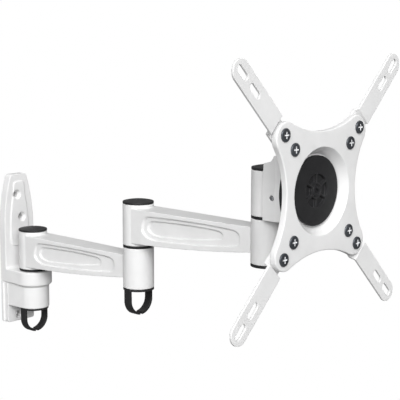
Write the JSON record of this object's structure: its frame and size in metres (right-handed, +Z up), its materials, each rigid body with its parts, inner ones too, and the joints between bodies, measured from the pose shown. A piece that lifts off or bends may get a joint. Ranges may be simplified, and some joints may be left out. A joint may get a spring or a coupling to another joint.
{
  "type": "full motion tv wall mount",
  "caption": "White articulated wall mount for a screen: wall plate, stacked folding arms, swivelling and tilting head, and a turning screen plate with diagonal slotted extension arms.",
  "frame": {"origin": "middle of the wall plate's back face, on the wall", "axes": "+Y into the wall, so the mount reaches out along -Y; +Z up; +X to the right when facing the wall"},
  "size_m": [0.2218, 0.4134, 0.3007],
  "materials": {
    "white_paint": "satin white powder coat",
    "black_plastic": "fine moulded texture",
    "nylon": "natural nylon",
    "steel": "zinc plated",
    "dark_steel": "black zinc"
  },
  "bodies": {
    "wall_bracket": {"wall_plate": "white_paint", "shoulder_pivot_bolt": "steel", "shoulder_lock_nut": "steel", "shoulder_steel_washer": "steel", "shoulder_slip_washer": "black_plastic"},
    "shoulder_clip": {"shoulder_cable_clip": "black_plastic"},
    "inner_arm": {"lower_arm": "white_paint", "shoulder_upper_bush": "nylon", "shoulder_lower_bush": "nylon", "shoulder_cap": "black_plastic", "elbow_pivot_bolt": "steel", "elbow_lock_nut": "steel", "elbow_steel_washer": "steel", "elbow_slip_washer": "black_plastic"},
    "elbow_clip": {"elbow_cable_clip": "black_plastic"},
    "outer_arm": {"upper_arm": "white_paint", "head_end_ring": "black_plastic", "elbow_upper_bush": "nylon", "elbow_lower_bush": "nylon", "elbow_cap": "black_plastic", "head_pivot_bolt": "steel", "head_lock_nut": "steel", "head_steel_washer": "steel", "head_slip_washer": "black_plastic"},
    "swivel_head": {"head_knuckle": "white_paint", "head_upper_bush": "nylon", "head_lower_bush": "nylon", "head_cap": "black_plastic"},
    "tilting_bracket": {"tilt_bracket": "white_paint", "tilt_bolt": "steel", "tilt_nut": "steel", "tilt_washer_right": "nylon", "tilt_washer_left": "nylon", "clamp_disc": "black_plastic", "plate_slip_washer": "black_plastic", "plate_swivel_bolt": "dark_steel", "plate_swivel_washer": "steel", "plate_swivel_nut": "steel"},
    "screen_frame": {"screen_plate": "white_paint", "extension_arm_upper_right": "white_paint", "extension_arm_upper_left": "white_paint", "extension_arm_lower_left": "white_paint", "extension_arm_lower_right": "white_paint", "screw_upper_right_inner": "dark_steel", "screw_upper_right_outer": "dark_steel", "screw_upper_left_inner": "dark_steel", "screw_upper_left_outer": "dark_steel", "screw_lower_left_inner": "dark_steel", "screw_lower_left_outer": "dark_steel", "screw_lower_right_inner": "dark_steel", "screw_lower_right_outer": "dark_steel"}
  },
  "joints": [
    {"name": "wall_swivel", "type": "hinge", "parent": "wall_bracket", "child": "inner_arm", "pos_m": [0, -0.032, 0], "axis": [0, 0, 1], "range_deg": [-90, 90]},
    {"name": "elbow_swivel", "type": "hinge", "parent": "inner_arm", "child": "outer_arm", "pos_m": [0, -0.1932, 0.0275], "axis": [0, 0, -1], "range_deg": [-165, 165]},
    {"name": "head_swivel", "type": "hinge", "parent": "outer_arm", "child": "swivel_head", "pos_m": [0, -0.3544, 0.0745], "axis": [0, 0, 1], "range_deg": [-90, 90]},
    {"name": "tilt", "type": "hinge", "parent": "swivel_head", "child": "tilting_bracket", "pos_m": [0, -0.3729, 0.09415], "axis": [1, 0, 0], "range_deg": [-15, 15]},
    {"name": "screen_rotation", "type": "hinge", "parent": "tilting_bracket", "child": "screen_frame", "pos_m": [0, -0.4117, 0.10205], "axis": [0, -1, 0], "range_deg": [-90, 90]},
    {"name": "shoulder_clip_turn", "type": "hinge", "parent": "wall_bracket", "child": "shoulder_clip", "pos_m": [0, -0.032, -0.0625], "axis": [0, 0, 1], "continuous": true},
    {"name": "elbow_clip_turn", "type": "hinge", "parent": "inner_arm", "child": "elbow_clip", "pos_m": [0, -0.1932, -0.0155], "axis": [0, 0, 1], "continuous": true}
  ]
}
